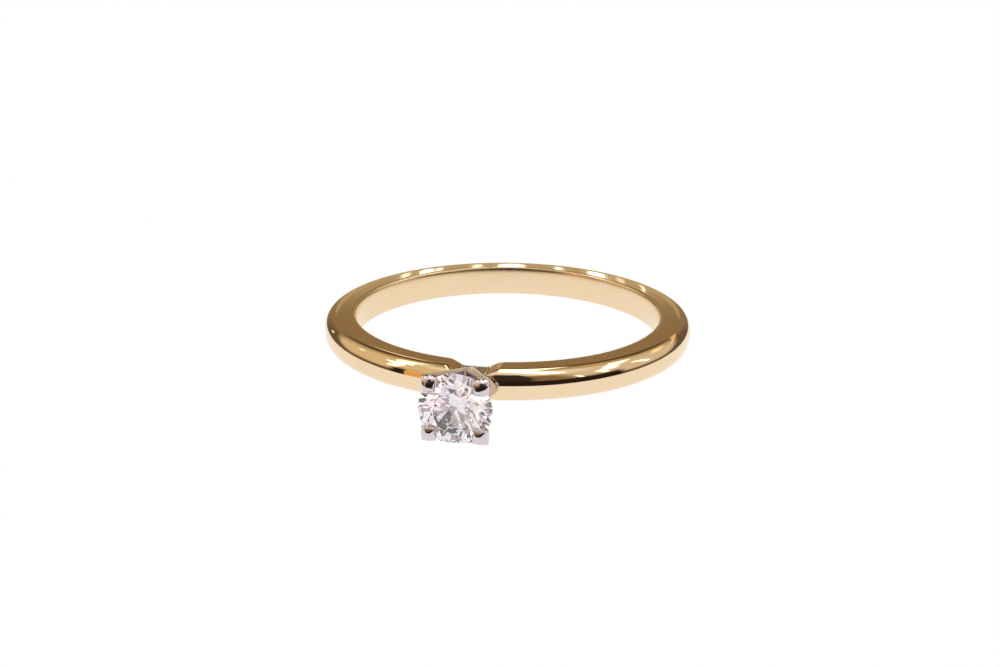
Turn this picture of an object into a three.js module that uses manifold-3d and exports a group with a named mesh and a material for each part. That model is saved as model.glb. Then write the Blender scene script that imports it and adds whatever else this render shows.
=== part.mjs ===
// A solitaire engagement ring: a yellow-gold court-section shank, open at the front, with a white-gold
// four-claw head soldered into the opening and a round brilliant held in the claws.
//
// The head is a V-end head. Two plates lean apart from a common seam, and the two legs of each plate
// are claws. Below the V they share a narrow foot that stands between the shank's ends. A round-wire
// gallery rail is let into the inner corners of the four claws, under the stone.
//
// Millimetres. The ring lies on its side: +Z is the finger axis, the stone faces -Y, and the origin
// is the centre of the finger hole at half the band's width.

import * as THREE from "three";
import { mergeVertices } from "three/addons/utils/BufferGeometryUtils.js";
import Module from "manifold-3d";

const wasm = await Module();
wasm.setup();

// ---------------------------------------------------------------- driving dimensions

// Shank
const FINGER_DIAMETER = 16.5; // finger hole at its narrowest, US size 6
const BAND_WIDTH = 1.62; // along the finger axis, at the back
const BAND_WIDTH_AT_HEAD = 1.66; // the sides open out a little towards the head
const BAND_THICKNESS = 1.74; // finger hole to the top of the dome
const SIDE_FLAT_TOP = 0.9; // height above the finger hole where the flat side turns into the dome
const COMFORT_DEPTH = 0.14; // how far the inside falls away from its middle to its edges
const DOME_SQUARENESS = 2.5; // 2 makes the dome an ellipse, more makes it flatter with tighter corners
const BEVEL_LENGTH = 0.55; // the bevel round each end, measured away from the opening
const BEVEL_SIDE_DROP = 0.3; // what the bevel takes off each side at the end
const BEVEL_DOME_DROP = 0.35; // what it takes off the dome at the end

// Stone: round brilliant
const STONE_DIAMETER = 3.6;
const GIRDLE_THICKNESS = 0.11;
const TABLE_RATIO = 0.57; // table diameter over stone diameter
const CROWN_ANGLE = 34.5; // of the eight kite facets, degrees
const PAVILION_ANGLE = 40.8; // of the eight pavilion mains, degrees
const STAR_LENGTH_RATIO = 0.5; // how far the stars reach from table edge to girdle
const LOWER_HALF_RATIO = 0.77; // how far the lower halves reach from girdle to culet
const CULET_RADIUS = 0.03;
const GIRDLE_HEIGHT = 4.75; // finger hole to the middle of the girdle

// Head, heights measured from the finger hole
const FOOT_HALF_SPAN = 0.6; // head's axis to the outer face of the foot
const FOOT_HALF_WIDTH = 0.53; // along the finger axis
const FOOT_SHOULDER_HEIGHT = 1.2; // where the foot starts to close in on the V
const FOOT_PEAK_HEIGHT = 1.95; // where it has run out into the V's outer faces
const V_BOTTOM_HEIGHT = 1.05; // where the V's outer faces would meet
const V_BOTTOM_HALF_WIDTH = 0.86; // along the finger axis
const NOTCH_HEIGHT = 2.7; // bottom of the notch between the two plates
const ARCH_HEIGHT = 3.05; // bottom of the arch between the two claws of a plate
const PLATE_THICKNESS_AT_GIRDLE = 0.55; // across the head
const CLAW_WIDTH_AT_GIRDLE = 0.7; // along the finger axis
const CLAW_WALL = 0.385; // girdle to a claw's two outer faces, each way
const CLAW_TIP_INSET = 0.06; // girdle in to the middle of a claw's tip, each way
const CLAW_OVERHANG = 0.41; // girdle in to the end of a claw's fold, each way
const CLAW_HEIGHT = 0.52; // claw tip above the middle of the girdle
const RAIL_WIRE_DIAMETER = 0.36;

// Fits
const SEAT_CLEARANCE = 0.02; // stone in its seat
const RAIL_CLEARANCE = 0.04; // stone to the gallery rail
const FITTED_GAP = 0.02; // between two pieces fitted to each other
const SHANK_SEAM_THICKNESS = 0.06; // solder between the shank and a plate's foot
const FOOT_SEAM_THICKNESS = 0.08; // solder between the feet of the two plates

// Facets of round stretches
const RING_SEGMENTS = 96;
const DOME_SEGMENTS = 14;
const INSIDE_SEGMENTS = 14;
const STONE_SEGMENTS = 96;
const CLAW_TIP_SEGMENTS = 10;
const ARCH_SEGMENTS = 16;
const RAIL_SEGMENTS = 48;
const RAIL_WIRE_SIDES = 12;

// ---------------------------------------------------------------- derived dimensions

const { lerp, degToRad: rad } = THREE.MathUtils;

const FINGER_RADIUS = FINGER_DIAMETER / 2;
const BAND_OUTER_RADIUS = FINGER_RADIUS + BAND_THICKNESS;
const HALF_WIDTH = BAND_WIDTH / 2;
const STONE_RADIUS = STONE_DIAMETER / 2;

// Levels are distances from the finger axis.
const GIRDLE_LEVEL = FINGER_RADIUS + GIRDLE_HEIGHT;
const CLAW_TIP_LEVEL = GIRDLE_LEVEL + CLAW_HEIGHT;
const V_BOTTOM_LEVEL = FINGER_RADIUS + V_BOTTOM_HEIGHT;
const NOTCH_LEVEL = FINGER_RADIUS + NOTCH_HEIGHT;
const ARCH_LEVEL = FINGER_RADIUS + ARCH_HEIGHT;
const FOOT_SHOULDER_LEVEL = FINGER_RADIUS + FOOT_SHOULDER_HEIGHT;
const FOOT_PEAK_LEVEL = FINGER_RADIUS + FOOT_PEAK_HEIGHT;

const OPENING_HALF_WIDTH = FOOT_HALF_SPAN + SHANK_SEAM_THICKNESS + 2 * FITTED_GAP;
const PLATE_SEAM_FACE = FOOT_SEAM_THICKNESS / 2 + FITTED_GAP; // head's axis to a plate's seam face

// The claws stand at the corners of a square: these are half-sides of squares about the head's axis.
const GIRDLE_CORNER = STONE_RADIUS * Math.SQRT1_2;
const CLAW_OUTER = GIRDLE_CORNER + CLAW_WALL;
const CLAW_TIP = GIRDLE_CORNER - CLAW_TIP_INSET;
const CLAW_REACH = GIRDLE_CORNER - CLAW_OVERHANG;

const WAY_PAST = 1; // how far a cutting tool runs past the metal

// ---------------------------------------------------------------- solids and meshes

const v2 = (x, y) => new THREE.Vector2(x, y);

// A three.js geometry as a manifold-3d solid.
function solidOf(geometry) {
  const bare = geometry.clone();
  bare.deleteAttribute("normal");
  bare.deleteAttribute("uv");
  const merged = mergeVertices(bare, 1e-4);
  return new wasm.Manifold(
    new wasm.Mesh({
      numProp: 3,
      vertProperties: merged.attributes.position.array,
      triVerts: new Uint32Array(merged.index.array),
    }),
  );
}

// A manifold-3d solid as a three.js geometry.
function geometryOf(solid) {
  const mesh = solid.getMesh();
  const geometry = new THREE.BufferGeometry();
  geometry.setAttribute("position", new THREE.BufferAttribute(mesh.vertProperties, mesh.numProp));
  geometry.setIndex(new THREE.BufferAttribute(mesh.triVerts, 1));
  geometry.computeVertexNormals();
  return geometry;
}

// A closed outline in x and y, extruded evenly to both sides of z = 0.
function prism(outline, depth) {
  const geometry = new THREE.ExtrudeGeometry(new THREE.Shape(outline), { depth, bevelEnabled: false });
  return geometry.translate(0, 0, -depth / 2);
}

// A box between two corners.
function block(x0, x1, y0, y1, z0, z1) {
  const box = new THREE.BoxGeometry(x1 - x0, y1 - y0, z1 - z0);
  return solidOf(box.translate((x0 + x1) / 2, (y0 + y1) / 2, (z0 + z1) / 2));
}

// The right half of an outline and its mirror image, as one closed outline about x = 0.
function mirrored(half) {
  const left = half.filter((p) => p.x > 0).map((p) => v2(-p.x, p.y));
  return [...half, ...left.reverse()];
}

// ---------------------------------------------------------------- materials

function metal(color, roughness) {
  return new THREE.MeshStandardMaterial({ color, roughness, metalness: 1 });
}

const yellowGold = metal(0xe8bf74, 0.08);
const whiteGold = metal(0xd9d4d2, 0.1);
const goldSolder = metal(0xdcc28e, 0.25);
const whiteGoldSolder = metal(0xe6e2dc, 0.25);
const diamondGlass = new THREE.MeshStandardMaterial({
  color: 0xf4f6fa,
  roughness: 0,
  metalness: 0,
  transparent: true,
  opacity: 0.5,
});

// ---------------------------------------------------------------- frames

// Everything is modelled in the head's frame: +Y runs from the finger axis out along the stone's
// axis, x is the ring's own x, and the finger axis is z.
const headFrame = new THREE.Group();
headFrame.rotation.x = Math.PI;

// ---------------------------------------------------------------- stone

// A point of the brilliant about +Y, with the middle of the girdle at y = 0.
function facetPoint(radius, azimuth, y) {
  const a = rad(azimuth);
  return new THREE.Vector3(radius * Math.cos(a), y, radius * Math.sin(a));
}

// Grinds one flat facet through a, b and c, keeping the side that holds the middle of the stone.
function grind(stone, a, b, c) {
  const plane = new THREE.Plane().setFromCoplanarPoints(a, b, c);
  if (plane.constant < 0) plane.negate();
  return stone.trimByPlane(plane.normal.toArray(), -plane.constant);
}

// A round brilliant of the given radius: a cylinder of rough with its facets ground one by one.
function brilliant(radius) {
  const halfGirdle = GIRDLE_THICKNESS / 2;
  const tableRadius = radius * TABLE_RATIO;
  const tableY = halfGirdle + (radius - tableRadius) * Math.tan(rad(CROWN_ANGLE));
  const culetY = -halfGirdle - (radius - CULET_RADIUS) * Math.tan(rad(PAVILION_ANGLE));
  const midFacet = Math.cos(rad(22.5)); // a main's middle over its corners

  // Where two kites meet a pair of stars.
  const starRadius = lerp(tableRadius * midFacet, radius, STAR_LENGTH_RATIO);
  const starY = halfGirdle + (radius - starRadius * midFacet) * Math.tan(rad(CROWN_ANGLE));

  // Where two pavilion mains meet a pair of lower halves.
  const lowerRadius = radius * (1 - LOWER_HALF_RATIO);
  const lowerY = -halfGirdle - (radius - lowerRadius * midFacet) * Math.tan(rad(PAVILION_ANGLE));

  const rough = new THREE.CylinderGeometry(radius, radius, tableY - culetY, STONE_SEGMENTS);
  let stone = solidOf(rough.translate(0, (tableY + culetY) / 2, 0));
  for (let main = 0; main < 360; main += 45) {
    const next = main + 45;
    const before = main - 22.5;
    const after = main + 22.5;
    const star = facetPoint(starRadius, after, starY);
    const lower = facetPoint(lowerRadius, after, lowerY);
    const girdleTop = facetPoint(radius, main, halfGirdle);
    const girdleFoot = facetPoint(radius, main, -halfGirdle);
    // crown: the kite, a star, and the two upper halves below that star
    stone = grind(stone, girdleTop, star, facetPoint(starRadius, before, starY));
    stone = grind(stone, facetPoint(tableRadius, main, tableY), star, facetPoint(tableRadius, next, tableY));
    stone = grind(stone, girdleTop, star, facetPoint(radius, after, halfGirdle));
    stone = grind(stone, facetPoint(radius, next, halfGirdle), star, facetPoint(radius, after, halfGirdle));
    // pavilion: the main and two lower halves
    stone = grind(stone, girdleFoot, lower, facetPoint(lowerRadius, before, lowerY));
    stone = grind(stone, girdleFoot, lower, facetPoint(radius, after, -halfGirdle));
    stone = grind(stone, facetPoint(radius, next, -halfGirdle), lower, facetPoint(radius, after, -halfGirdle));
  }
  return stone;
}

// The stone in its place, or the seat cut for it when it is given some clearance.
function placedStone(clearance = 0) {
  return brilliant(STONE_RADIUS + clearance).translate([0, GIRDLE_LEVEL, 0]);
}

// ---------------------------------------------------------------- head

// A value that runs straight from one level's to the girdle's.
function towardsGirdle(level, fromLevel, from, atGirdle) {
  return lerp(from, atGirdle, (level - fromLevel) / (GIRDLE_LEVEL - fromLevel));
}

// Where a plate's outer and inner faces are across the head, and its edge along the finger axis.
const outerFace = (level) => towardsGirdle(level, V_BOTTOM_LEVEL, PLATE_SEAM_FACE, CLAW_OUTER);
const innerFace = (level) =>
  towardsGirdle(level, NOTCH_LEVEL, PLATE_SEAM_FACE, CLAW_OUTER - PLATE_THICKNESS_AT_GIRDLE);
const outerEdge = (level) => towardsGirdle(level, V_BOTTOM_LEVEL, V_BOTTOM_HALF_WIDTH, CLAW_OUTER);
const innerEdge = (level) => outerEdge(level) - CLAW_WIDTH_AT_GIRDLE;

// A claw's rounded tip, from its outer side at the girdle to the end of its fold.
function clawTip() {
  const fold = CLAW_HEIGHT / 2;
  const quarter = Math.PI / 2;
  const back = new THREE.EllipseCurve(CLAW_TIP, GIRDLE_LEVEL, CLAW_OUTER - CLAW_TIP, CLAW_HEIGHT, 0, quarter);
  const nose = new THREE.EllipseCurve(
    CLAW_TIP,
    CLAW_TIP_LEVEL - fold,
    CLAW_TIP - CLAW_REACH,
    fold,
    quarter,
    2 * quarter,
  );
  return [...back.getPoints(CLAW_TIP_SEGMENTS), ...nose.getPoints(CLAW_TIP_SEGMENTS).slice(1)];
}

// One leaning plate seen along the finger axis: x across the head, y out from the finger axis.
function plateProfile() {
  return [
    v2(PLATE_SEAM_FACE, V_BOTTOM_LEVEL),
    ...clawTip(),
    v2(innerFace(GIRDLE_LEVEL), GIRDLE_LEVEL),
    v2(PLATE_SEAM_FACE, NOTCH_LEVEL),
  ];
}

// Its half of the foot, seen the same way.
function footProfile() {
  return [
    v2(PLATE_SEAM_FACE, 0),
    v2(FOOT_HALF_SPAN, 0),
    v2(FOOT_HALF_SPAN, FOOT_SHOULDER_LEVEL),
    v2(outerFace(FOOT_PEAK_LEVEL), FOOT_PEAK_LEVEL),
    v2(PLATE_SEAM_FACE, FOOT_PEAK_LEVEL),
  ];
}

// Plate and foot seen across the head: x along the finger axis, with an arch between two claws.
function plateFace() {
  const archHalf = innerEdge(ARCH_LEVEL);
  const arch = new THREE.EllipseCurve(0, ARCH_LEVEL + archHalf, archHalf, archHalf, 0, -Math.PI / 2, true);
  return mirrored([
    v2(0, 0),
    v2(FOOT_HALF_WIDTH, 0),
    v2(FOOT_HALF_WIDTH, V_BOTTOM_LEVEL),
    v2(V_BOTTOM_HALF_WIDTH, V_BOTTOM_LEVEL),
    ...clawTip(),
    v2(innerEdge(GIRDLE_LEVEL), GIRDLE_LEVEL),
    ...arch.getPoints(ARCH_SEGMENTS / 2),
  ]);
}

// The band's domed inside as a curve in (radius, height), from its upper edge to its lower one.
function insideCurve(halfWidth) {
  const top = FINGER_RADIUS + COMFORT_DEPTH;
  return new THREE.EllipseCurve(top, 0, COMFORT_DEPTH, halfWidth, Math.PI / 2, (3 * Math.PI) / 2);
}

// What the finger fills, with the band's own curve at the head.
function fingerHole() {
  const past = BAND_WIDTH;
  const inside = insideCurve(BAND_WIDTH_AT_HEAD / 2).getPoints(INSIDE_SEGMENTS);
  const mouth = inside[0].x;
  const outline = [v2(0, past), v2(mouth, past), ...inside, v2(mouth, -past), v2(0, -past)];
  return solidOf(new THREE.LatheGeometry(outline.reverse(), RING_SEGMENTS).rotateX(Math.PI / 2));
}

// The rail runs through the inner corners of the claws, as high as it can go below the stone.
function railPlace() {
  const cornerRadius = (level) => Math.hypot(innerFace(level), innerEdge(level));
  const drop = (level) => GIRDLE_LEVEL - GIRDLE_THICKNESS / 2 - level;
  const pavilionRadius = (level) => STONE_RADIUS - drop(level) / Math.tan(rad(PAVILION_ANGLE));
  const room = (RAIL_WIRE_DIAMETER / 2 + RAIL_CLEARANCE) / Math.sin(rad(PAVILION_ANGLE));
  let clear = NOTCH_LEVEL;
  let fouled = GIRDLE_LEVEL;
  for (let halving = 0; halving < 20; halving++) {
    const level = (clear + fouled) / 2;
    if (cornerRadius(level) - pavilionRadius(level) > room) clear = level;
    else fouled = level;
  }
  return { level: clear, radius: cornerRadius(clear) };
}

function galleryRail(clearance = 0) {
  const { level, radius } = railPlace();
  const wire = RAIL_WIRE_DIAMETER / 2 + clearance;
  const ring = new THREE.TorusGeometry(radius, wire, RAIL_WIRE_SIDES, RAIL_SEGMENTS);
  return solidOf(ring.rotateX(Math.PI / 2).translate(0, level, 0));
}

// An outline across the head on one side of it (-1 left, 1 right), run the given way along the finger axis.
function sidePrism(outline, side, depth) {
  const turned = outline.map((p) => v2(side * p.x, p.y));
  return solidOf(prism(side > 0 ? turned : turned.reverse(), depth));
}

// The outline of plate and foot, run across the head.
function facePrism() {
  return solidOf(prism(plateFace(), CLAW_OUTER * 3).rotateY(Math.PI / 2));
}

// What every soldered piece of the head is cut for: the finger, the rail and the stone's seat.
function cutForHead(solid) {
  return solid
    .subtract(fingerHole())
    .subtract(galleryRail(FITTED_GAP))
    .subtract(placedStone(SEAT_CLEARANCE));
}

// One plate with its two claws and its half of the foot.
function clawPlate(side) {
  const plate = sidePrism(plateProfile(), side, CLAW_OUTER * 3);
  const foot = sidePrism(footProfile(), side, 2 * FOOT_HALF_WIDTH);
  return cutForHead(plate.intersect(facePrism()).add(foot));
}

// The solder between the two plates, from the finger hole to the notch.
function footSeam() {
  const half = FOOT_SEAM_THICKNESS / 2;
  const film = block(-half, half, 0, NOTCH_LEVEL, -CLAW_OUTER, CLAW_OUTER);
  return cutForHead(film.intersect(facePrism()));
}

// ---------------------------------------------------------------- shank

// The dome of the band as points in (radius, height), from its lower edge to its upper one.
function domePoints() {
  const sideTop = FINGER_RADIUS + SIDE_FLAT_TOP;
  const eased = (value) => Math.sign(value) * Math.abs(value) ** (2 / DOME_SQUARENESS);
  const points = [];
  for (let i = 0; i <= DOME_SEGMENTS; i++) {
    const turn = Math.PI * (i / DOME_SEGMENTS - 0.5);
    const out = (BAND_THICKNESS - SIDE_FLAT_TOP) * eased(Math.cos(turn));
    points.push(v2(sideTop + out, HALF_WIDTH * eased(Math.sin(turn))));
  }
  return points;
}

// The court section, domed outside and gently domed inside, as a closed outline in (radius, height).
function bandSection() {
  const outline = [...domePoints(), ...insideCurve(HALF_WIDTH).getPoints(INSIDE_SEGMENTS)];
  return [...outline, outline[0].clone()];
}

// The full round band, with its width eased from back to head.
function easedBand() {
  const geometry = new THREE.LatheGeometry(bandSection(), RING_SEGMENTS).rotateX(Math.PI / 2);
  const position = geometry.attributes.position;
  for (let i = 0; i < position.count; i++) {
    const x = position.getX(i);
    const y = position.getY(i);
    const towardsHead = (1 + y / Math.hypot(x, y)) / 2; // 0 at the back, 1 at the head
    position.setZ(i, position.getZ(i) * lerp(1, BAND_WIDTH_AT_HEAD / BAND_WIDTH, towardsHead));
  }
  return solidOf(geometry);
}

// The eased band with the bevels that meet at its opening, before the opening itself is cut.
function bevelledBand() {
  const run = OPENING_HALF_WIDTH + BEVEL_LENGTH;
  const side = BAND_WIDTH_AT_HEAD / 2;
  let band = easedBand();
  // a trapezium in x and z for each side, cut from the finger hole outwards
  const sideCut = mirrored([
    v2(OPENING_HALF_WIDTH, side - BEVEL_SIDE_DROP),
    v2(run, side),
    v2(run, side + WAY_PAST),
  ]);
  for (const turn of [-1, 1]) {
    const cutter = prism(sideCut, BAND_THICKNESS * 4).rotateX((turn * Math.PI) / 2);
    band = band.subtract(solidOf(cutter.translate(0, FINGER_RADIUS + BAND_THICKNESS, 0)));
  }
  // and one in x and y for the dome, cut across the band's width
  const domeCut = mirrored([
    v2(OPENING_HALF_WIDTH, BAND_OUTER_RADIUS - BEVEL_DOME_DROP),
    v2(run, Math.sqrt(BAND_OUTER_RADIUS ** 2 - run ** 2)),
    v2(run, BAND_OUTER_RADIUS + WAY_PAST),
  ]);
  return band.subtract(solidOf(prism(domeCut, BAND_WIDTH * 2)));
}

const wholeBand = bevelledBand();

function shank() {
  const half = OPENING_HALF_WIDTH;
  return wholeBand.subtract(block(-half, half, 0, BAND_OUTER_RADIUS + WAY_PAST, -BAND_WIDTH, BAND_WIDTH));
}

// The solder between one end of the shank and the foot of the plate beside it.
function shankSeam(side) {
  const near = FOOT_HALF_SPAN + FITTED_GAP;
  const faces = [side * near, side * (near + SHANK_SEAM_THICKNESS)].sort((a, b) => a - b);
  const film = block(...faces, 0, FOOT_SHOULDER_LEVEL, -FOOT_HALF_WIDTH, FOOT_HALF_WIDTH);
  return wholeBand.intersect(film);
}

// ---------------------------------------------------------------- the assembly

function addPiece(name, solid, material) {
  const mesh = new THREE.Mesh(geometryOf(solid), material);
  mesh.name = name;
  headFrame.add(mesh);
}

addPiece("shank", shank(), yellowGold);
addPiece("claw_plate_left", clawPlate(-1), whiteGold);
addPiece("claw_plate_right", clawPlate(1), whiteGold);
addPiece("gallery_rail", galleryRail(), whiteGold);
addPiece("foot_seam", footSeam(), whiteGoldSolder);
addPiece("shank_seam_left", shankSeam(-1), goldSolder);
addPiece("shank_seam_right", shankSeam(1), goldSolder);
addPiece("diamond", placedStone(), diamondGlass);

const ring = new THREE.Group();
ring.add(headFrame);

export default ring;
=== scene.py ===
"""A solitaire engagement ring: a polished yellow-gold shank, a white-gold four-claw head soldered
into its opening, and a round brilliant diamond held in the claws.

Shapes are worked out in millimetres and turned to metres when a piece is finished. The finger axis
is Z, the stone faces -Y and the origin is the middle of the finger hole. A level is a distance from
the finger axis towards the stone.
"""

import math

import bmesh
import bpy
from mathutils import Matrix, Quaternion, Vector


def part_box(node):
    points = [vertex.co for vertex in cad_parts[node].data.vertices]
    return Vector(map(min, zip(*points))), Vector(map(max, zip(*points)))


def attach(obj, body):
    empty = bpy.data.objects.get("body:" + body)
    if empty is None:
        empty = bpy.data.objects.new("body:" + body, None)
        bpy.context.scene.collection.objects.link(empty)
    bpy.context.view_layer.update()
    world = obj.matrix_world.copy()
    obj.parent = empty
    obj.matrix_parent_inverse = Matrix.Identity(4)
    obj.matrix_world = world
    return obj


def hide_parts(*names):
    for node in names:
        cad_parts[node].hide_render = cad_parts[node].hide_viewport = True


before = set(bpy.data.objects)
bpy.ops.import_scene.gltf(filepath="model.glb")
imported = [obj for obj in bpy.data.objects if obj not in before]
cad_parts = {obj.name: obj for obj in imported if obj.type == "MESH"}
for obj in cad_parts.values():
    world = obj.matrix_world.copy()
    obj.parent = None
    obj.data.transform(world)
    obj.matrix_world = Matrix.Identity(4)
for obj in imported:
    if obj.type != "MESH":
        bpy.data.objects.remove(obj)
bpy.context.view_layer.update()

MM = 0.001
TO_METRES = Matrix.Scale(MM, 4)


# ---------------------------------------------------------------- sizes, in millimetres

def box_mm(node):
    """Lowest and highest corner of a CAD node."""
    low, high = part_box(node)
    return low / MM, high / MM


shank_low, shank_high = box_mm("shank")
stone_low, stone_high = box_mm("diamond")
rail_low, rail_high = box_mm("gallery_rail")
claw_low, _ = box_mm("claw_plate_right")

# Shank: the section's lengths run out from the finger hole
BAND_OUTER_RADIUS = shank_high.x
BAND_WIDTH = 1.62  # at the back
BAND_THICKNESS = 1.74
FINGER_RADIUS = BAND_OUTER_RADIUS - BAND_THICKNESS
WIDTH_AT_HEAD = shank_high.z - shank_low.z
SIDE_FLAT_TOP = 0.9  # where the flat sides end and the dome begins
DOME_SQUARENESS = 2.5  # 2 makes the dome an ellipse, more makes it flatter with tighter corners
COMFORT_DEPTH = 0.14  # how far the inside falls away from its middle to its edges
COMFORT_SQUARENESS = 3.2
DOME_STEPS = 72
INSIDE_STEPS = 52
FLAT_STEPS = 4
INSIDE_DEPTH = 0.17  # how far up from the finger hole the softer inside polish reaches
OPENING_HALF_WIDTH = 0.7  # gap between the shank's ends
BEVEL_LENGTH = 0.55
BEVEL_SIDE_DROP = 0.3  # how far a bevel has cut in at the end
BEVEL_DOME_DROP = 0.35
EDGE_SOFTNESS = 0.16  # how far a polished edge is blended
END_ROUNDING = 0.09
BAND_STATIONS = 480
CROWDING = 0.9  # how strongly the stations crowd towards the ends, up to 1

# Stone
STONE_RADIUS = (stone_high.x - stone_low.x) / 2
GIRDLE_THICKNESS = 0.11
TABLE_RATIO = 0.57
CROWN_ANGLE = 34.5
PAVILION_ANGLE = 40.8
STAR_LENGTH_RATIO = 0.5
LOWER_HALF_RATIO = 0.77
CULET_RADIUS = 0.03
FACET_TURN = 45  # eight of each kind of facet
GIRDLE_SIDES = 96
CROWN_HEIGHT = STONE_RADIUS * (1 - TABLE_RATIO) * math.tan(math.radians(CROWN_ANGLE))
GIRDLE_LEVEL = -stone_low.y - CROWN_HEIGHT - GIRDLE_THICKNESS / 2
SEAT_CLEARANCE = 0.012
IOR_DIAMOND = 2.417

# Head
CLAW_TIP_LEVEL = -claw_low.y
BEAD_CENTRE = 1.25  # head's axis to the middle of a claw's bead, each way
BEAD_RADIUS = 0.43
BEAD_HEIGHT = 0.46
METAL_VOXEL = 0.035  # the head's metal is worked at this grain
POLISH_PASSES = 14
SOLDER_EDGE = 0.015

# Gallery rail
RAIL_WIRE = rail_high.y - rail_low.y
RAIL_RADIUS = (rail_high.x - rail_low.x - RAIL_WIRE) / 2
RAIL_LEVEL = -(rail_low.y + rail_high.y) / 2
RAIL_STATIONS = 128
WIRE_SIDES = 32


# ---------------------------------------------------------------- nodes and colours

def add(tree, kind, inputs=None, **settings):
    """Adds a node. An input is a value, a socket to link from, or a node whose first output it takes."""
    node = tree.nodes.new(kind)
    for name, value in settings.items():
        setattr(node, name, value)
    for key, value in (inputs or {}).items():
        if isinstance(value, bpy.types.Node):
            value = value.outputs[0]
        if isinstance(value, bpy.types.NodeSocket):
            tree.links.new(value, node.inputs[key])
        else:
            node.inputs[key].default_value = value
    return node


def linear(hex_colour):
    """An sRGB hex colour as linear red, green, blue and alpha."""
    channels = [int(hex_colour[i : i + 2], 16) / 255 for i in (1, 3, 5)]
    return (*(c / 12.92 if c <= 0.04045 else ((c + 0.055) / 1.055) ** 2.4 for c in channels), 1)


def new_material(name):
    """An empty material and its node tree."""
    material = bpy.data.materials.new(name)
    material.use_nodes = True
    material.node_tree.nodes.clear()
    return material, material.node_tree


# ---------------------------------------------------------------- materials

def hairlines(tree, depth, across, along):
    """Polishing hairlines that run round the band, as a bump. All three are in millimetres."""
    place = add(tree, "ShaderNodeTexCoord").outputs["Object"]
    axes = add(tree, "ShaderNodeSeparateXYZ", {"Vector": place})
    flat = add(tree, "ShaderNodeCombineXYZ", {"X": axes.outputs["X"], "Y": axes.outputs["Y"]})
    radius = add(tree, "ShaderNodeVectorMath", {0: flat}, operation="LENGTH").outputs["Value"]
    heading = add(tree, "ShaderNodeVectorMath", {0: flat}, operation="NORMALIZE")
    round_band = add(
        tree, "ShaderNodeVectorMath", {0: heading, "Scale": BAND_OUTER_RADIUS / along}, operation="SCALE"
    )
    lift = add(tree, "ShaderNodeMath", {0: radius, 1: 1 / (across * MM)}, operation="MULTIPLY")
    rise = add(tree, "ShaderNodeCombineXYZ", {"Z": lift})
    grain = add(tree, "ShaderNodeVectorMath", {0: round_band, 1: rise}, operation="ADD")
    height = add(tree, "ShaderNodeMath", {0: axes.outputs["Z"], 1: 1 / (across * MM)}, operation="MULTIPLY")
    noise = add(
        tree,
        "ShaderNodeTexNoise",
        {"Vector": grain, "W": height, "Scale": 1.0, "Detail": 3.0, "Roughness": 0.6},
        noise_dimensions="4D",
    )
    return add(
        tree, "ShaderNodeBump", {"Height": noise.outputs[0], "Distance": depth * MM, "Strength": 1.0}
    )


def yellow_gold():
    """14 k yellow gold, machine polished: a clear warm mirror with faint hairlines round the band
    and slightly duller patches where it has been worn."""
    material, tree = new_material("polished_14k_yellow_gold")
    place = add(tree, "ShaderNodeTexCoord").outputs["Object"]
    wear = add(tree, "ShaderNodeTexNoise", {"Vector": place, "Scale": 1 / (2.5 * MM), "Detail": 4.0})
    gloss = add(
        tree,
        "ShaderNodeMapRange",
        {"Value": wear.outputs[0], "From Min": 0.35, "From Max": 0.7, "To Min": 0.03, "To Max": 0.07},
    )
    # inside the finger hole the polish is softer
    flat = add(tree, "ShaderNodeVectorMath", {0: place, 1: (1, 1, 0)}, operation="MULTIPLY")
    radius = add(tree, "ShaderNodeVectorMath", {0: flat}, operation="LENGTH").outputs["Value"]
    edge = (FINGER_RADIUS + INSIDE_DEPTH) * MM
    softer = add(
        tree,
        "ShaderNodeMapRange",
        {"Value": radius, "From Min": edge, "From Max": edge - 0.06 * MM, "To Max": 0.2},
    )
    gloss = add(tree, "ShaderNodeMath", {0: gloss, 1: softer}, operation="ADD")
    tone = add(
        tree,
        "ShaderNodeMix",
        {"Factor": wear.outputs[0], 6: linear("#f1d9b6"), 7: linear("#eed3ad")},
        data_type="RGBA",
    )
    metal = add(
        tree,
        "ShaderNodeBsdfPrincipled",
        {
            "Base Color": tone.outputs[2],
            "Metallic": 1.0,
            "Roughness": gloss,
            "Normal": hairlines(tree, depth=0.00025, across=0.09, along=4.0),
        },
    )
    add(tree, "ShaderNodeOutputMaterial", {"Surface": metal})
    return material


def white_gold():
    """Rhodium-plated white gold, hand finished: a cool grey mirror, softer than the band's, with the
    fine crossing scratches that a claw gets when it is filed and burnished."""
    material, tree = new_material("rhodium_plated_white_gold")
    place = add(tree, "ShaderNodeTexCoord").outputs["Object"]
    scratches = add(tree, "ShaderNodeTexNoise", {"Vector": place, "Scale": 1 / (0.12 * MM), "Detail": 3.0})
    polish = add(
        tree,
        "ShaderNodeBump",
        {"Height": scratches.outputs[0], "Distance": 0.0006 * MM, "Strength": 1.0},
    )
    gloss = add(
        tree,
        "ShaderNodeMapRange",
        {"Value": scratches.outputs[0], "From Min": 0.3, "From Max": 0.7, "To Min": 0.08, "To Max": 0.16},
    )
    metal = add(
        tree,
        "ShaderNodeBsdfPrincipled",
        {"Base Color": linear("#d8cdd4"), "Metallic": 1.0, "Roughness": gloss, "Normal": polish},
    )
    add(tree, "ShaderNodeOutputMaterial", {"Surface": metal})
    return material


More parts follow.
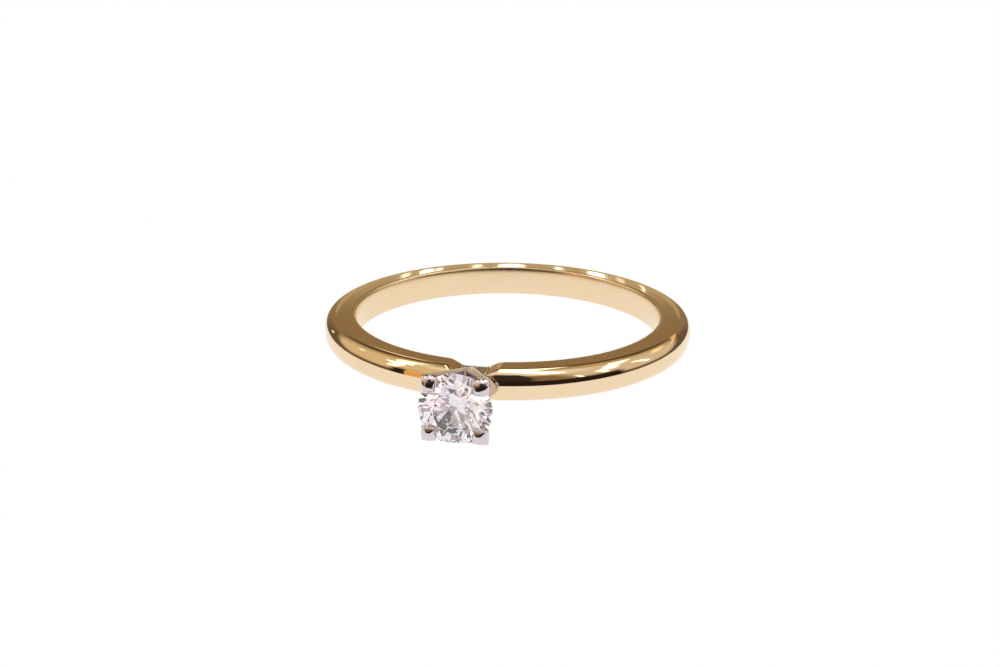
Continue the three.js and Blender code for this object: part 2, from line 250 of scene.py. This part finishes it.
def solder(name, colour):
    """Hard solder left as it flowed and lightly brushed: duller than the metal round it, with pits
    about 0.05 mm across."""
    material, tree = new_material(name)
    place = add(tree, "ShaderNodeTexCoord").outputs["Object"]
    pits = add(tree, "ShaderNodeTexNoise", {"Vector": place, "Scale": 1 / (0.05 * MM), "Detail": 2.0})
    skin = add(tree, "ShaderNodeBump", {"Height": pits.outputs[0], "Distance": 0.001 * MM, "Strength": 1.0})
    gloss = add(
        tree, "ShaderNodeMapRange", {"Value": pits.outputs[0], "To Min": 0.18, "To Max": 0.4}
    )
    metal = add(
        tree,
        "ShaderNodeBsdfPrincipled",
        {"Base Color": linear(colour), "Metallic": 1.0, "Roughness": gloss, "Normal": skin},
    )
    add(tree, "ShaderNodeOutputMaterial", {"Surface": metal})
    return material


def polished_diamond():
    """Polished diamond, near colourless: high refraction, flat mirror facets, and a trace of warm
    body colour that is stronger in places."""
    material, tree = new_material("polished_diamond")
    place = add(tree, "ShaderNodeTexCoord").outputs["Object"]
    zoning = add(tree, "ShaderNodeTexNoise", {"Vector": place, "Scale": 1 / (1.5 * MM), "Detail": 1.0})
    body = add(
        tree,
        "ShaderNodeMix",
        {"Factor": zoning.outputs[0], 6: linear("#fffdfc"), 7: linear("#f7efee")},
        data_type="RGBA",
    )
    glass = add(
        tree,
        "ShaderNodeBsdfPrincipled",
        {
            "Base Color": body.outputs[2],
            "Roughness": 0.0,
            "IOR": IOR_DIAMOND,
            "Transmission Weight": 1.0,
        },
    )
    add(tree, "ShaderNodeOutputMaterial", {"Surface": glass})
    return material


def bruted_girdle():
    """The stone's girdle, ground round and left unpolished: frosted, with grit marks of 0.03 mm."""
    material, tree = new_material("bruted_diamond_girdle")
    place = add(tree, "ShaderNodeTexCoord").outputs["Object"]
    grit = add(tree, "ShaderNodeTexNoise", {"Vector": place, "Scale": 1 / (0.03 * MM), "Detail": 2.0})
    skin = add(tree, "ShaderNodeBump", {"Height": grit.outputs[0], "Distance": 0.002 * MM, "Strength": 1.0})
    glass = add(
        tree,
        "ShaderNodeBsdfPrincipled",
        {
            "Base Color": linear("#f6ecee"),
            "Roughness": 0.35,
            "IOR": IOR_DIAMOND,
            "Transmission Weight": 1.0,
            "Normal": skin,
        },
    )
    add(tree, "ShaderNodeOutputMaterial", {"Surface": glass})
    return material


# ---------------------------------------------------------------- meshes

def object_of(name, mesh):
    """A new object in the scene that shows a mesh."""
    piece = bpy.data.objects.new(name, mesh)
    bpy.context.scene.collection.objects.link(piece)
    return piece


def evaluated_mesh(piece):
    """What the piece looks like with its modifiers, as a plain mesh. The piece itself is removed."""
    bpy.context.view_layer.update()
    graph = bpy.context.evaluated_depsgraph_get()
    mesh = bpy.data.meshes.new_from_object(piece.evaluated_get(graph), depsgraph=graph)
    bpy.data.objects.remove(piece)
    return mesh


def finished(name, mesh, material, replaces, sharp_angle=40):
    """Turns a mesh in millimetres into a finished piece that stands for its CAD nodes."""
    work = bmesh.new()
    work.from_mesh(mesh)
    bmesh.ops.remove_doubles(work, verts=work.verts, dist=1e-5)
    bmesh.ops.dissolve_degenerate(work, edges=work.edges, dist=1e-6)
    bmesh.ops.recalc_face_normals(work, faces=work.faces)
    work.to_mesh(mesh)
    work.free()
    mesh.transform(TO_METRES)
    if not mesh.materials:
        mesh.materials.append(material)
    else:
        mesh.materials[0] = material
    mesh.shade_smooth()
    mesh.set_sharp_from_angle(angle=math.radians(sharp_angle))
    piece = object_of(name, mesh)
    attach(piece, "root")
    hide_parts(*replaces)
    return piece


def cad_copy(node):
    """A CAD node's mesh in millimetres, with its loose triangles joined."""
    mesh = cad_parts[node].data.copy()
    mesh.materials.clear()
    mesh.transform(Matrix.Scale(1 / MM, 4))
    work = bmesh.new()
    work.from_mesh(mesh)
    bmesh.ops.remove_doubles(work, verts=work.verts, dist=1e-4)
    work.to_mesh(mesh)
    work.free()
    return mesh


def node_inputs(tree, sizes):
    """Gives a Geometry Nodes tree a geometry input and one named input for each size."""
    tree.interface.new_socket("Geometry", in_out="INPUT", socket_type="NodeSocketGeometry")
    for name, value in sizes.items():
        kind = "NodeSocketInt" if isinstance(value, int) else "NodeSocketFloat"
        tree.interface.new_socket(name, in_out="INPUT", socket_type=kind)
    tree.interface.new_socket("Geometry", in_out="OUTPUT", socket_type="NodeSocketGeometry")
    return add(tree, "NodeGroupInput").outputs


def grown_mesh(name, mesh, tree, sizes):
    """Runs a Geometry Nodes tree on a mesh with its sizes set, and returns the plain result."""
    piece = object_of(name, mesh)
    modifier = piece.modifiers.new(name, "NODES")
    modifier.node_group = tree
    for socket in tree.interface.items_tree:
        if socket.in_out == "INPUT" and socket.name in sizes:
            modifier[socket.identifier] = sizes[socket.name]
    return evaluated_mesh(piece)


# ---------------------------------------------------------------- shank

def band_section():
    """The court section as a closed outline: x out from the finger hole, y along the finger axis."""
    half = BAND_WIDTH / 2

    def eased(value, squareness):
        return math.copysign(abs(value) ** (2 / squareness), value)

    def arc(x, reach, squareness, start, end, steps):
        turns = [math.radians(start + (end - start) * i / steps) for i in range(steps)]
        return [
            (x + reach * eased(math.cos(t), squareness), half * eased(math.sin(t), squareness))
            for t in turns
        ]

    def line(x0, y0, x1, y1, steps):
        return [(x0 + (x1 - x0) * i / steps, y0 + (y1 - y0) * i / steps) for i in range(steps)]

    outline = arc(SIDE_FLAT_TOP, BAND_THICKNESS - SIDE_FLAT_TOP, DOME_SQUARENESS, -90, 90, DOME_STEPS)
    outline += line(SIDE_FLAT_TOP, half, COMFORT_DEPTH, half, FLAT_STEPS)
    outline += arc(COMFORT_DEPTH, COMFORT_DEPTH, COMFORT_SQUARENESS, 90, 270, INSIDE_STEPS)
    outline += line(COMFORT_DEPTH, -half, SIDE_FLAT_TOP, -half, FLAT_STEPS)
    mesh = bpy.data.meshes.new("band_section")
    count = len(outline)
    mesh.from_pydata([(x, y, 0) for x, y in outline], [(i, (i + 1) % count) for i in range(count)], [])
    return mesh


def swept_band_tree(material, sizes):
    """Sweeps a section round the finger hole, eases its width towards the head, and takes the bevels
    off both ends with softened edges."""
    tree = bpy.data.node_groups.new("swept_band", "GeometryNodeTree")
    size = node_inputs(tree, sizes)

    def calc(operation, *values):
        return add(tree, "ShaderNodeMath", dict(enumerate(values)), operation=operation)

    # the path: stations crowd together towards both ends, where the bevels are
    line = add(tree, "GeometryNodeCurvePrimitiveLine")
    line = add(tree, "GeometryNodeResampleCurve", {"Curve": line, "Count": size["Stations"]})
    share = add(tree, "GeometryNodeSplineParameter").outputs["Factor"]
    wave = calc("SINE", calc("MULTIPLY", share, math.tau))
    eased = calc("SUBTRACT", share, calc("MULTIPLY", wave, CROWDING / math.tau))
    outer = calc("ADD", size["Finger radius"], size["Thickness"])
    start = calc("ARCSINE", calc("DIVIDE", size["Opening half width"], outer))
    sweep = calc("SUBTRACT", math.tau, calc("MULTIPLY", start, 2.0))
    angle = calc("MULTIPLY_ADD", eased, sweep, start)
    x = calc("MULTIPLY", calc("SINE", angle), size["Finger radius"])
    y = calc("MULTIPLY", calc("COSINE", angle), calc("MULTIPLY", size["Finger radius"], -1.0))
    point = add(tree, "ShaderNodeCombineXYZ", {"X": x, "Y": y})
    path = add(tree, "GeometryNodeSetPosition", {"Geometry": line, "Position": point})
    path = add(tree, "GeometryNodeSetCurveNormal", {"Curve": path}, mode="Z_UP")
    section = add(tree, "GeometryNodeMeshToCurve", {"Mesh": size["Geometry"]})
    band = add(
        tree,
        "GeometryNodeCurveToMesh",
        {"Curve": path, "Profile Curve": section, "Fill Caps": True},
    )

    # the width eases from the back to the head
    place = add(tree, "GeometryNodeInputPosition")
    axes = add(tree, "ShaderNodeSeparateXYZ", {"Vector": place})
    x, y, z = axes.outputs
    radius = calc("POWER", calc("ADD", calc("MULTIPLY", x, x), calc("MULTIPLY", y, y)), 0.5)
    towards_head = calc("MULTIPLY_ADD", calc("DIVIDE", y, radius), -0.5, 0.5)
    ease = add(
        tree,
        "ShaderNodeMapRange",
        {"Value": towards_head, "To Min": 1.0, "To Max": size["Width share at head"]},
    )
    z = calc("MULTIPLY", z, ease)

    # the bevels, on the head's side of the ring only
    beside = calc("ABSOLUTE", x)
    from_end = calc("SUBTRACT", beside, size["Opening half width"])
    along = calc("DIVIDE", from_end, size["Bevel length"])
    gone = calc("SUBTRACT", 1.0, along)
    out_of_reach = calc("MULTIPLY", calc("GREATER_THAN", y, 0.0), 10 * BAND_OUTER_RADIUS)
    side = calc("MULTIPLY", size["Half width"], size["Width share at head"])
    inset_turn = calc("MAXIMUM", calc("SUBTRACT", 1.0, calc("DIVIDE", from_end, size["End rounding"])), 0.0)
    inset_turn = calc("MINIMUM", inset_turn, 1.0)
    round_off = calc("SQRT", calc("SUBTRACT", 1.0, calc("MULTIPLY", inset_turn, inset_turn)))
    inset = calc("MULTIPLY", calc("SUBTRACT", 1.0, round_off), size["End rounding"])
    side_limit = calc("SUBTRACT", side, calc("MULTIPLY", gone, size["Side drop"]))
    side_limit = calc("ADD", calc("SUBTRACT", side_limit, inset), out_of_reach)
    width = calc("SMOOTH_MIN", calc("ABSOLUTE", z), side_limit, size["Edge softness"])
    z = calc("MULTIPLY", calc("SIGN", z), width)

    run = calc("ADD", size["Opening half width"], size["Bevel length"])
    dome_start = calc("SQRT", calc("SUBTRACT", calc("MULTIPLY", outer, outer), calc("MULTIPLY", run, run)))
    dome_end = calc("SUBTRACT", outer, size["Dome drop"])
    dome_limit = calc("MULTIPLY_ADD", calc("SUBTRACT", dome_end, dome_start), gone, dome_start)
    dome_limit = calc("ADD", calc("SUBTRACT", dome_limit, inset), out_of_reach)
    level = calc("MULTIPLY", y, -1.0)
    y = calc("MULTIPLY", calc("SMOOTH_MIN", level, dome_limit, size["Edge softness"]), -1.0)

    end = calc("SUBTRACT", size["Opening half width"], out_of_reach)
    x = calc("MULTIPLY", calc("SIGN", x), calc("MAXIMUM", beside, end))
    shaped = add(tree, "ShaderNodeCombineXYZ", {"X": x, "Y": y, "Z": z})
    band = add(tree, "GeometryNodeSetPosition", {"Geometry": band, "Position": shaped})

    band = add(tree, "GeometryNodeRealizeInstances", {"Geometry": band})
    band = add(tree, "GeometryNodeSetMaterial", {"Geometry": band, "Material": material})
    add(tree, "NodeGroupOutput", {"Geometry": band})
    return tree


def shank(material):
    """The band with its two bevelled ends."""
    sizes = {
        "Finger radius": FINGER_RADIUS,
        "Thickness": BAND_THICKNESS,
        "Half width": BAND_WIDTH / 2,
        "Width share at head": WIDTH_AT_HEAD / BAND_WIDTH,
        "Opening half width": OPENING_HALF_WIDTH,
        "Bevel length": BEVEL_LENGTH,
        "Side drop": BEVEL_SIDE_DROP,
        "Dome drop": BEVEL_DOME_DROP,
        "Edge softness": EDGE_SOFTNESS,
        "End rounding": END_ROUNDING,
        "Stations": BAND_STATIONS,
    }
    tree = swept_band_tree(material, sizes)
    mesh = grown_mesh("band", band_section(), tree, sizes)
    return finished("polished_shank", mesh, material, ["shank"], sharp_angle=50)


# ---------------------------------------------------------------- gallery rail

def wire_ring_tree(material, sizes):
    """A round wire bent to a ring, about Z."""
    tree = bpy.data.node_groups.new("wire_ring", "GeometryNodeTree")
    size = node_inputs(tree, sizes)

    def circle(steps, radius):
        return add(tree, "GeometryNodeCurvePrimitiveCircle", {"Resolution": steps, "Radius": radius})

    ring = circle(RAIL_STATIONS, size["Ring radius"])
    wire = circle(WIRE_SIDES, size["Wire radius"])
    rail = add(tree, "GeometryNodeCurveToMesh", {"Curve": ring, "Profile Curve": wire})
    rail = add(tree, "GeometryNodeRealizeInstances", {"Geometry": rail})
    rail = add(tree, "GeometryNodeSetMaterial", {"Geometry": rail, "Material": material})
    add(tree, "NodeGroupOutput", {"Geometry": rail})
    return tree


def rail_mesh(material):
    """The gallery rail's wire, laid round the head's axis."""
    sizes = {"Ring radius": RAIL_RADIUS, "Wire radius": RAIL_WIRE / 2}
    tree = wire_ring_tree(material, sizes)
    mesh = grown_mesh("rail", bpy.data.meshes.new("rail"), tree, sizes)
    lay_over = Matrix.Rotation(math.radians(90), 4, "X")
    mesh.transform(Matrix.Translation((0, -RAIL_LEVEL, 0)) @ lay_over)
    return mesh


# ---------------------------------------------------------------- stone

def brilliant(clearance=0.0):
    """A round brilliant cut as a solid: a cylinder of rough, and every facet ground as a plane."""
    radius = STONE_RADIUS + clearance
    half_girdle = GIRDLE_THICKNESS / 2
    table_radius = radius * TABLE_RATIO
    crown_slope = math.tan(math.radians(CROWN_ANGLE))
    pavilion_slope = math.tan(math.radians(PAVILION_ANGLE))
    table = half_girdle + (radius - table_radius) * crown_slope
    culet = -half_girdle - (radius - CULET_RADIUS) * pavilion_slope
    mid_facet = math.cos(math.radians(FACET_TURN / 2))
    star_radius = table_radius * mid_facet * (1 - STAR_LENGTH_RATIO) + radius * STAR_LENGTH_RATIO
    star_height = half_girdle + (radius - star_radius * mid_facet) * crown_slope
    lower_radius = radius * (1 - LOWER_HALF_RATIO)
    lower_height = -half_girdle - (radius - lower_radius * mid_facet) * pavilion_slope

    def point(distance, azimuth, height):
        turn = math.radians(azimuth)
        return Vector((distance * math.cos(turn), -(GIRDLE_LEVEL + height), distance * math.sin(turn)))

    centre = Vector((0, -GIRDLE_LEVEL, 0))
    work = bmesh.new()
    rings = []
    for height in (culet, table):
        turns = (360 * i / GIRDLE_SIDES for i in range(GIRDLE_SIDES))
        rings.append([work.verts.new(point(radius, turn, height)) for turn in turns])
    work.faces.new(rings[0])
    work.faces.new(rings[1][::-1])
    for i in range(GIRDLE_SIDES):
        j = (i + 1) % GIRDLE_SIDES
        work.faces.new((rings[0][j], rings[0][i], rings[1][i], rings[1][j]))

    def grind(a, b, c):
        normal = (b - a).cross(c - a).normalized()
        if (centre - a).dot(normal) > 0:
            normal.negate()
        everything = work.verts[:] + work.edges[:] + work.faces[:]
        cut = bmesh.ops.bisect_plane(
            work, geom=everything, dist=1e-5, plane_co=a, plane_no=normal, clear_outer=True
        )
        edges = [e for e in cut["geom_cut"] if isinstance(e, bmesh.types.BMEdge)]
        bmesh.ops.holes_fill(work, edges=edges)

    for main in range(0, 360, FACET_TURN):
        after = main + FACET_TURN / 2
        before = main - FACET_TURN / 2
        star = point(star_radius, after, star_height)
        lower = point(lower_radius, after, lower_height)
        girdle_top = point(radius, main, half_girdle)
        girdle_foot = point(radius, main, -half_girdle)
        next_top = point(radius, main + FACET_TURN, half_girdle)
        next_foot = point(radius, main + FACET_TURN, -half_girdle)
        grind(girdle_top, star, point(star_radius, before, star_height))
        grind(point(table_radius, main, table), star, point(table_radius, main + FACET_TURN, table))
        grind(girdle_top, star, point(radius, after, half_girdle))
        grind(next_top, star, point(radius, after, half_girdle))
        grind(girdle_foot, lower, point(lower_radius, before, lower_height))
        grind(girdle_foot, lower, point(radius, after, -half_girdle))
        grind(next_foot, lower, point(radius, after, -half_girdle))

    bmesh.ops.remove_doubles(work, verts=work.verts, dist=1e-5)
    bmesh.ops.recalc_face_normals(work, faces=work.faces)
    # the girdle's faces look straight out, and have the second material
    for face in work.faces:
        face.material_index = 1 if abs(face.normal.y) < 0.05 else 0
    mesh = bpy.data.meshes.new("brilliant")
    work.to_mesh(mesh)
    work.free()
    return mesh


def diamond(facets, girdle):
    """The stone, with polished facets and a frosted girdle."""
    mesh = brilliant()
    mesh.materials.append(facets)
    mesh.materials.append(girdle)
    return finished("brilliant_diamond", mesh, facets, ["diamond"], sharp_angle=1)


# ---------------------------------------------------------------- head

def claw_bead(side, upper):
    """The rounded end of one claw, burnished down over the stone."""
    work = bmesh.new()
    bmesh.ops.create_uvsphere(work, u_segments=32, v_segments=20, radius=1)
    place = Vector((side * BEAD_CENTRE, -(CLAW_TIP_LEVEL - BEAD_HEIGHT), upper * BEAD_CENTRE))
    stretch = Matrix.Diagonal((BEAD_RADIUS, BEAD_HEIGHT, BEAD_RADIUS, 1))
    work.transform(Matrix.Translation(place) @ stretch)
    mesh = bpy.data.meshes.new("claw_bead")
    work.to_mesh(mesh)
    work.free()
    return mesh


def joined(meshes):
    """Several meshes as one."""
    work = bmesh.new()
    for mesh in meshes:
        work.from_mesh(mesh)
    mesh = bpy.data.meshes.new("joined")
    work.to_mesh(mesh)
    work.free()
    return mesh


def cut_away(piece, tool):
    """Cuts a tool's shape out of a piece."""
    cut = piece.modifiers.new("cut", "BOOLEAN")
    cut.operation = "DIFFERENCE"
    cut.solver = "EXACT"
    cut.object = tool


def claw_plate(name, node, side, material, tools):
    """One leaning plate with its two claws: the CAD solid with beads on its claws, every edge
    rounded over as filing and polishing does, and the stone's seat cut last so that it is crisp."""
    blank = joined([cad_copy(node), claw_bead(side, 1), claw_bead(side, -1)])
    piece = object_of("blank", blank)
    grain = piece.modifiers.new("grain", "REMESH")
    grain.mode = "VOXEL"
    grain.voxel_size = METAL_VOXEL
    polish = piece.modifiers.new("polish", "SMOOTH")
    polish.factor = 0.5
    polish.iterations = POLISH_PASSES
    for tool in tools:
        cut_away(piece, tool)
    mesh = evaluated_mesh(piece)
    mesh.materials.clear()
    return finished(name, mesh, material, [node])


def solder_seam(name, node, stretch, material):
    """A film of solder between two fitted faces, spread to fill the fit, with soft edges."""
    mesh = cad_copy(node)
    low, high = box_mm(node)
    middle = (low + high) / 2
    to_middle = Matrix.Translation(middle)
    mesh.transform(to_middle @ Matrix.Diagonal((stretch, 1, 1, 1)) @ to_middle.inverted())
    piece = object_of("film", mesh)
    soft = piece.modifiers.new("soft", "BEVEL")
    soft.width = SOLDER_EDGE
    soft.segments = 2
    mesh = evaluated_mesh(piece)
    return finished(name, mesh, material, [node])


# ---------------------------------------------------------------- camera

VIEW_TURN = 10.8  # degrees round the finger axis from straight in front of the stone
VIEW_RISE = 18.47  # degrees above the ring's own plane
VIEW_DISTANCE = 88.0
VIEW_ROLL = 0.67
SENSOR_WIDTH = 36
FOCAL_LENGTH = 57.64


def direction(turn, rise):
    """A direction from the ring: degrees round the finger axis, 0 in front of the stone and growing
    towards +X, and degrees above the ring's own plane."""
    t, r = math.radians(turn), math.radians(rise)
    return Vector((math.sin(t) * math.cos(r), -math.cos(t) * math.cos(r), math.sin(r)))


def make_camera():
    """The camera, aimed at the middle of the finger hole and shifted to frame the whole ring."""
    camera = bpy.data.objects.new("camera", bpy.data.cameras.new("camera"))
    bpy.context.scene.collection.objects.link(camera)
    bpy.context.scene.camera = camera
    back = direction(VIEW_TURN, VIEW_RISE)
    camera.location = back * VIEW_DISTANCE * MM
    roll = Quaternion((0, 0, 1), math.radians(VIEW_ROLL))
    camera.rotation_mode = "QUATERNION"
    camera.rotation_quaternion = (-back).to_track_quat("-Z", "Y") @ roll
    camera.data.sensor_width = SENSOR_WIDTH
    camera.data.lens = FOCAL_LENGTH
    camera.data.shift_x = -0.0076
    camera.data.shift_y = -0.0089
    camera.data.clip_start = 1 * MM
    camera.data.clip_end = 10


# ---------------------------------------------------------------- light and floor

def world_light():
    """A warm room: brown walls low down, a golden glow above them, a pale ceiling, and darkness
    behind the camera. The backdrop itself shows white."""
    world = bpy.data.worlds.new("room")
    bpy.context.scene.world = world
    world.use_nodes = True
    tree = world.node_tree
    tree.nodes.clear()
    way = add(tree, "ShaderNodeTexCoord").outputs["Generated"]
    height = add(tree, "ShaderNodeSeparateXYZ", {"Vector": way}).outputs["Z"]
    level = add(tree, "ShaderNodeVectorMath", {0: way, 1: (1, 1, 0)}, operation="MULTIPLY")
    heading = add(tree, "ShaderNodeVectorMath", {0: level}, operation="NORMALIZE").outputs["Vector"]

    def along(axis):
        return add(
            tree, "ShaderNodeVectorMath", {0: heading, 1: axis}, operation="DOT_PRODUCT"
        ).outputs["Value"]

    def share(value, low, high):
        limits = {"Value": value, "From Min": low, "From Max": high}
        return add(tree, "ShaderNodeMapRange", limits, interpolation_type="SMOOTHSTEP").outputs[0]

    def both(first, second):
        return add(tree, "ShaderNodeMath", {0: first, 1: second}, operation="MULTIPLY").outputs[0]

    def blend(amount, low, high):
        return add(tree, "ShaderNodeMix", {"Factor": amount, 6: low, 7: high}, data_type="RGBA").outputs[2]

    facing = along(-direction(VIEW_TURN, 0))
    rightwards = along(direction(VIEW_TURN + 90, 0))

    # walls: dark at the sides, lighter straight ahead, lightest at the foot of the far wall
    walls = blend(share(facing, 0.8, 0.96), linear("#6c5d4b"), linear("#937c5c"))
    walls = blend(both(share(facing, 0.97, 0.99), share(height, 0.305, 0.29)), walls, linear("#bfac86"))

    # glow above them, starting higher ahead than at the sides
    glow = blend(share(rightwards, -0.35, -0.8), linear("#bba67c"), linear("#e4d2ae"))
    glow = blend(share(rightwards, 0.25, 0.9), glow, linear("#e2d6c4"))
    shoulder = both(share(facing, 0.3, 0.97), 0.45)
    above = add(tree, "ShaderNodeMath", {0: height, 1: shoulder}, operation="SUBTRACT")
    room = blend(share(above, -0.05, 0.15), walls, glow)

    # a dark beam across the far wall, and the pale ceiling
    beam = both(share(height, 0.42, 0.47), share(height, 0.66, 0.6))
    room = blend(both(share(facing, 0.9, 0.96), beam), room, linear("#5c4a38"))
    room = blend(share(height, 0.85, 0.93), room, linear("#f6efe6"))

    # darkness on the camera's side, highest right behind it
    room = blend(both(share(facing, -0.6, -0.85), share(height, 0.95, 0.8)), room, linear("#8a7455"))
    room = blend(both(share(facing, -0.93, -0.975), share(height, 0.985, 0.95)), room, linear("#38302f"))
    room = blend(both(share(facing, -0.22, -0.34), share(height, 0.5, 0.2)), room, linear("#2c211d"))
    seen = add(tree, "ShaderNodeLightPath").outputs["Is Camera Ray"]
    backdrop = blend(seen, room, linear("#ffffff"))
    light = add(tree, "ShaderNodeBackground", {"Color": backdrop, "Strength": 1.0})
    add(tree, "ShaderNodeOutputWorld", {"Surface": light})


LAMP_DISTANCE = 400
FAR_WALL = 700  # how far ahead of the camera the row of shop lamps hangs
SHOP_LAMP_RISE = 16.7  # degrees up, where the flat side at the band's back sends the view
SHOP_LAMP_HEIGHT = 14
TABLE_RADIUS = 19


def hang_lamp(name, shape, place, aim, width, height, radiance, colour, lean=0):
    """An area lamp that faces a point, unseen by the camera. Sizes and places are in millimetres."""
    lamp = bpy.data.lights.new(name, "AREA")
    lamp.shape = shape
    lamp.size = width * MM
    lamp.size_y = height * MM
    area = lamp.size * lamp.size_y * (math.pi / 4 if shape == "ELLIPSE" else 1)
    lamp.energy = radiance * math.pi * area
    lamp.color = linear(colour)[:3]
    holder = bpy.data.objects.new(name, lamp)
    bpy.context.scene.collection.objects.link(holder)
    holder.location = place * MM
    holder.rotation_mode = "QUATERNION"
    tilt = Quaternion((0, 0, 1), math.radians(lean))
    holder.rotation_quaternion = (aim - place).to_track_quat("-Z", "Y") @ tilt
    holder.visible_camera = False
    return holder


def soft_box(name, turn, rise, turn_span, rise_span, radiance, colour="#ffffff", lean=0):
    """A rectangular lamp that faces the ring. Turn is measured from straight ahead of the camera,
    clockwise seen from above; the spans are what it covers as the ring sees it, and a positive lean
    drops its right end, all in degrees."""
    place = direction(180 + VIEW_TURN - turn, rise) * LAMP_DISTANCE
    width = 2 * LAMP_DISTANCE * math.tan(math.radians(turn_span / 2) * math.cos(math.radians(rise)))
    height = 2 * LAMP_DISTANCE * math.tan(math.radians(rise_span / 2))
    return hang_lamp(name, "RECTANGLE", place, Vector(), width, height, radiance, colour, lean)


def shop_lamp(number, turn, width, radiance):
    """One of a row of small lamps across the room, which the flat side of the band mirrors. Turn is
    in degrees as the camera's mirror image sees it, width in millimetres."""
    camera = direction(VIEW_TURN, VIEW_RISE) * VIEW_DISTANCE
    mirrored = Vector((camera.x, camera.y, BAND_WIDTH - camera.z))
    ahead = -direction(VIEW_TURN, 0)
    across = direction(VIEW_TURN + 90, 0)
    offset = FAR_WALL * math.tan(math.radians(turn))
    rise = FAR_WALL * math.tan(math.radians(SHOP_LAMP_RISE))
    place = mirrored + ahead * FAR_WALL + across * offset + Vector((0, 0, rise))
    return hang_lamp(
        f"shop_lamp_{number}", "ELLIPSE", place, Vector(), width, SHOP_LAMP_HEIGHT, radiance, "#ffffff"
    )


def lights(stone):
    """Windows and lamps as the band mirrors them, and cards that only the stone sees. Each soft box
    gives its turn, rise, the two spans and its radiance."""
    soft_box("left_window", -56, 57, 66, 7, 1.5)
    soft_box("left_window_bend", -86, 47, 18, 9, 1.7, lean=-28)
    soft_box("left_window_side", -102, 31, 8, 22, 1.8, lean=12)
    soft_box("left_lamp", -56, 37, 4, 4, 1.5)
    soft_box("small_window", -41, 11, 3, 5, 1.6, "#fff4e4")
    soft_box("far_window", 2, 54, 14, 34, 1.7)
    soft_box("far_curtain", -6, 24, 3, 5, 0.8, "#ffe6b8")
    soft_box("right_window", 66, 54, 52, 7, 1.9)
    soft_box("right_window_end", 101, 44, 18, 9, 1.8, lean=32)
    soft_box("right_strip", 83, 28, 5, 24, 1.8, lean=-8)
    soft_box("near_strip", 114, 34, 6, 20, 1.7, lean=-10)
    soft_box("near_slit", 134, 26, 4, 18, 1.2)
    soft_box("camera_side_rail", 152, 20, 28, 2, 0.45, "#ffd8a0")
    soft_box("ceiling", 60, 79, 180, 10, 1.5)
    soft_box("warm_lamp", 46, 36, 18, 6, 1.1, "#f5b860")
    soft_box("warm_rail", 33, 26, 26, 3, 0.6, "#ffd8a0")
    soft_box("warm_card", -125, 4, 16, 32, 1.0, "#efb266")
    # turn, width and radiance of each shop lamp
    row = ((-3.8, 4, 1.2), (-3.0, 6, 3.0), (-2.54, 3, 1.6), (-1.13, 4, 2.2), (0.13, 12, 4.0))
    row += ((1.87, 4, 1.6), (3.28, 7, 4.0), (4.18, 3, 1.0), (5.05, 2, 1.2))
    for number, (turn, width, radiance) in enumerate(row):
        shop_lamp(number, turn, width, radiance)

    # white card round the camera, dim and pinkish right behind it, for the stone alone
    stone_only = bpy.data.collections.new("stone_only")
    stone_only.objects.link(stone)
    cards = (
        soft_box("card_left", -128, 12, 60, 76, 0.92, "#f6f2ff"),
        soft_box("card_right", 128, 12, 60, 76, 0.92, "#f6f2ff"),
        soft_box("card_above", 180, 62, 80, 44, 1.1, "#f6f2ff"),
        soft_box("card_below", 180, -30, 110, 36, 0.95, "#f6f2ff"),
        soft_box("card_behind", 180, 14, 44, 52, 0.42, "#ffdcdc"),
    )
    for card in cards:
        card.light_linking.receiver_collection = stone_only


def floor():
    """The lit white table, laid through the tips of the lower claws and the back of the shank. The
    stone stands out past its claws, so its lowest edge reaches about 0.15 mm through the table."""
    material, tree = new_material("lit_white_table")
    glow = add(tree, "ShaderNodeEmission", {"Color": linear("#ffffff"), "Strength": 1.0})
    add(tree, "ShaderNodeOutputMaterial", {"Surface": glow})
    shank_touch = BAND_OUTER_RADIUS * 0.95
    claw_touch = CLAW_TIP_LEVEL * 0.97
    slope = (shank_low.z - claw_low.z) / (shank_touch + claw_touch)
    middle = shank_low.z - slope * shank_touch
    rest = Matrix.Translation((0, 0, middle)) @ Matrix.Rotation(math.atan(slope), 4, "X")
    work = bmesh.new()
    bmesh.ops.create_circle(work, cap_ends=True, segments=96, radius=TABLE_RADIUS)
    work.transform(rest)
    mesh = bpy.data.meshes.new("table_top")
    work.to_mesh(mesh)
    work.free()
    mesh.transform(TO_METRES)
    mesh.materials.append(material)
    table = object_of("table_top", mesh)


# ---------------------------------------------------------------- the ring

make_camera()

gold = yellow_gold()
white = white_gold()
stone = diamond(polished_diamond(), bruted_girdle())
shank(gold)

rail = rail_mesh(white)
seat_tool = object_of("seat_tool", brilliant(SEAT_CLEARANCE))
rail_tool = object_of("rail_tool", rail.copy())
for plate, node, side in (("left", "claw_plate_left", -1), ("right", "claw_plate_right", 1)):
    claw_plate(f"{plate}_claws", node, side, white, [seat_tool, rail_tool])
for tool in (seat_tool, rail_tool):
    bpy.data.objects.remove(tool)
finished("gallery_wire", rail, white, ["gallery_rail"])

yellow_solder = solder("brushed_gold_solder", "#e3cda0")
white_solder = solder("brushed_white_gold_solder", "#e4dcd8")
solder_seam("left_shoulder_solder", "shank_seam_left", 1.6, yellow_solder)
solder_seam("right_shoulder_solder", "shank_seam_right", 1.6, yellow_solder)
solder_seam("foot_solder", "foot_seam", 1.45, white_solder)

world_light()
lights(stone)
floor()
bpy.context.scene.view_settings.view_transform = "Standard"
